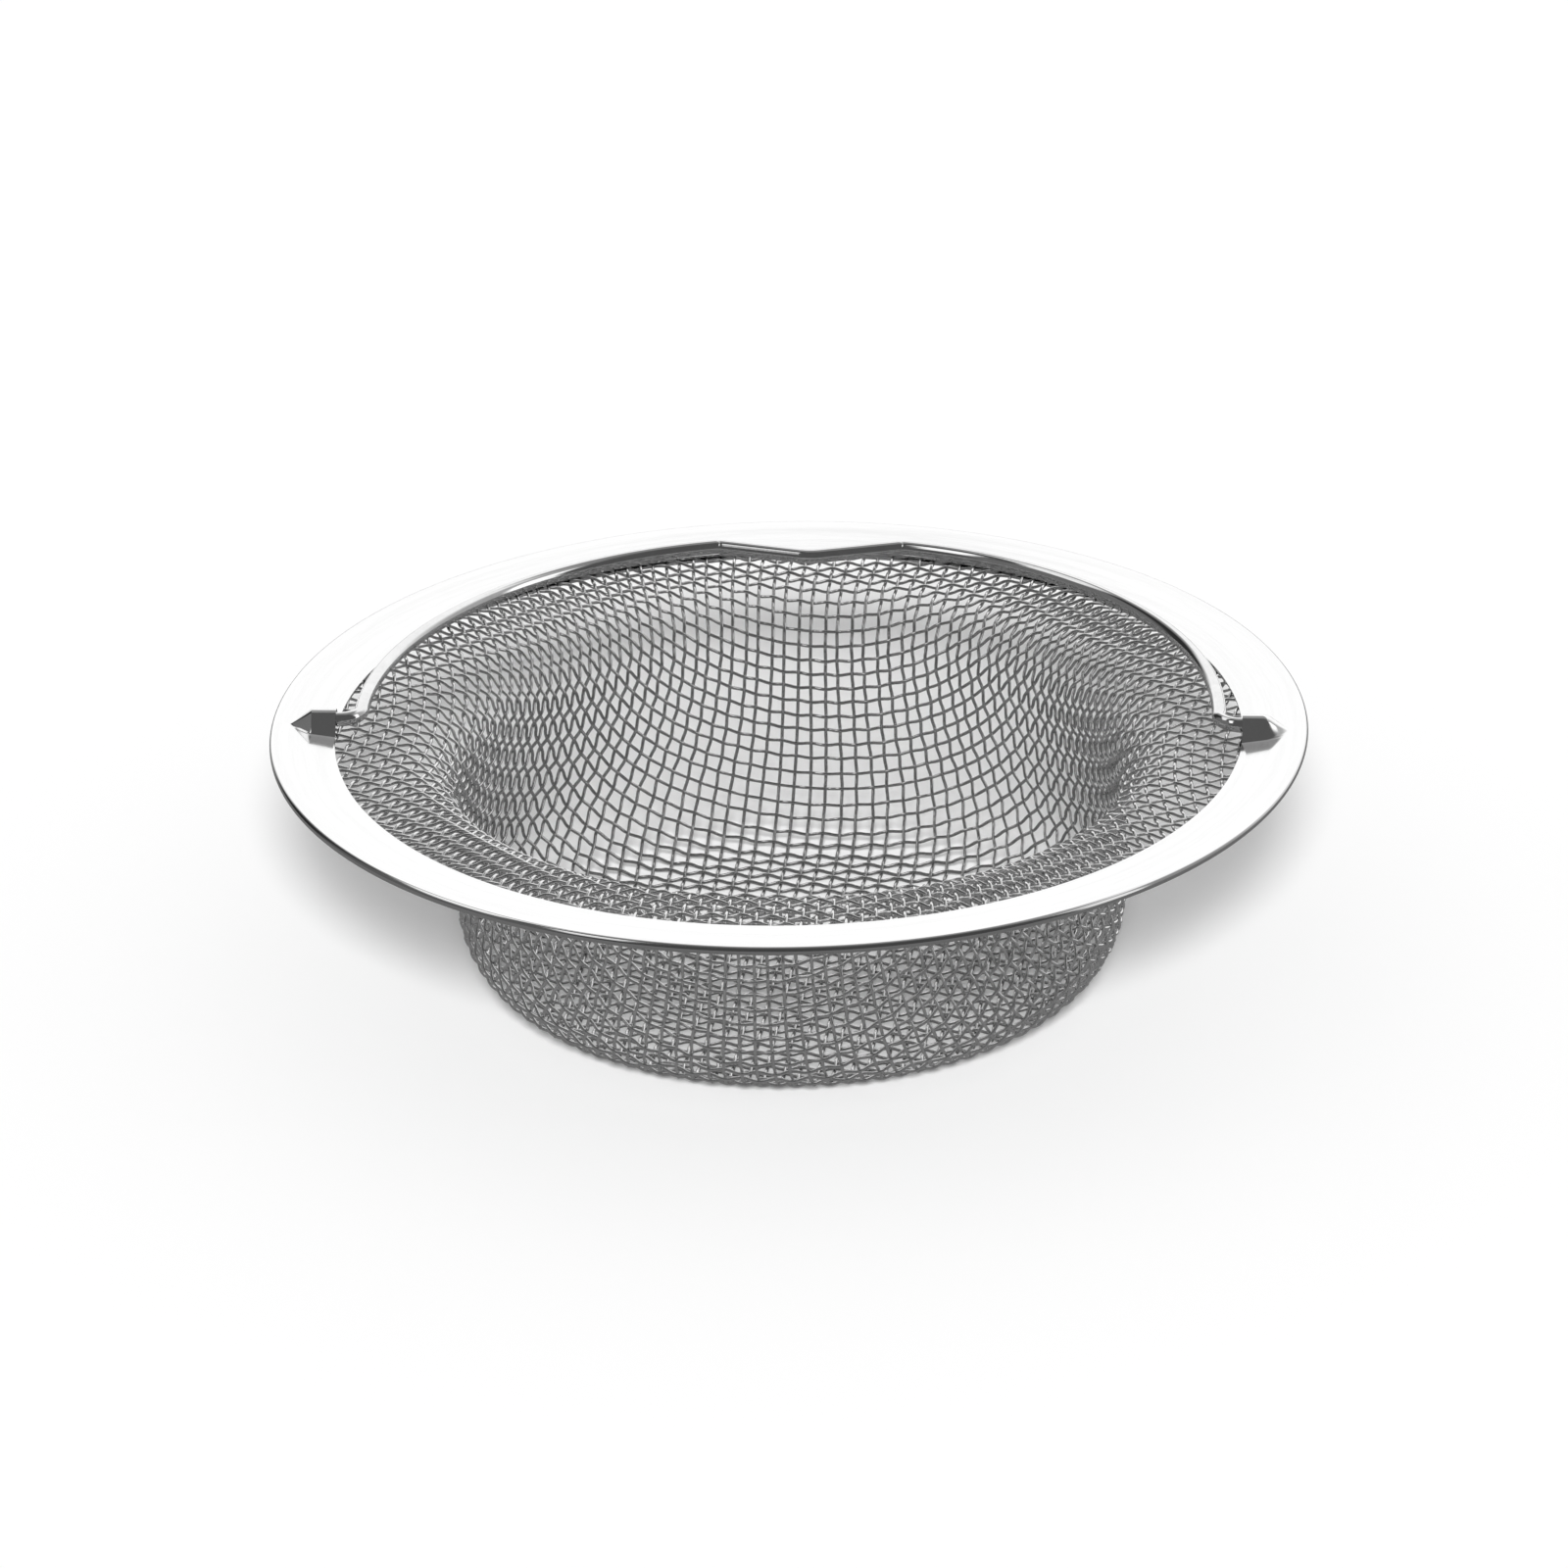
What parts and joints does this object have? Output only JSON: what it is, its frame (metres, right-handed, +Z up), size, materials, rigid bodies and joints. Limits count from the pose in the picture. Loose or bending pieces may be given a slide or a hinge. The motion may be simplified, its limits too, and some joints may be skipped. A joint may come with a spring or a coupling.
{
  "type": "sink strainer",
  "caption": "Round kitchen sink strainer: a flat-bottomed woven wire cup with a brim, clamped in a dished polished steel rim, with a hinged wire bail to lift it out of the drain.",
  "frame": {"origin": "centre of the basket's floor, on the surface that the basket stands on", "axes": "+Z up out of the basket's mouth; X along the bail's hinge line; the folded bail lies towards +Y"},
  "size_m": [0.114, 0.114, 0.0314],
  "materials": {
    "polished_sheet": "polished stainless sheet",
    "wire_cloth": "drawn stainless wire, plain weave",
    "bright_wire": "bright drawn stainless wire"
  },
  "bodies": {
    "strainer": {"rim_top_ring": "polished_sheet", "rim_under_ring": "polished_sheet", "mesh_basket": "wire_cloth"},
    "bail": {"bail_handle": "bright_wire"}
  },
  "joints": [
    {"name": "bail_hinge", "type": "hinge", "parent": "strainer", "child": "bail", "pos_m": [0, 0, 0.03021], "axis": [1, 0, 0], "range_deg": [0, 180]}
  ]
}
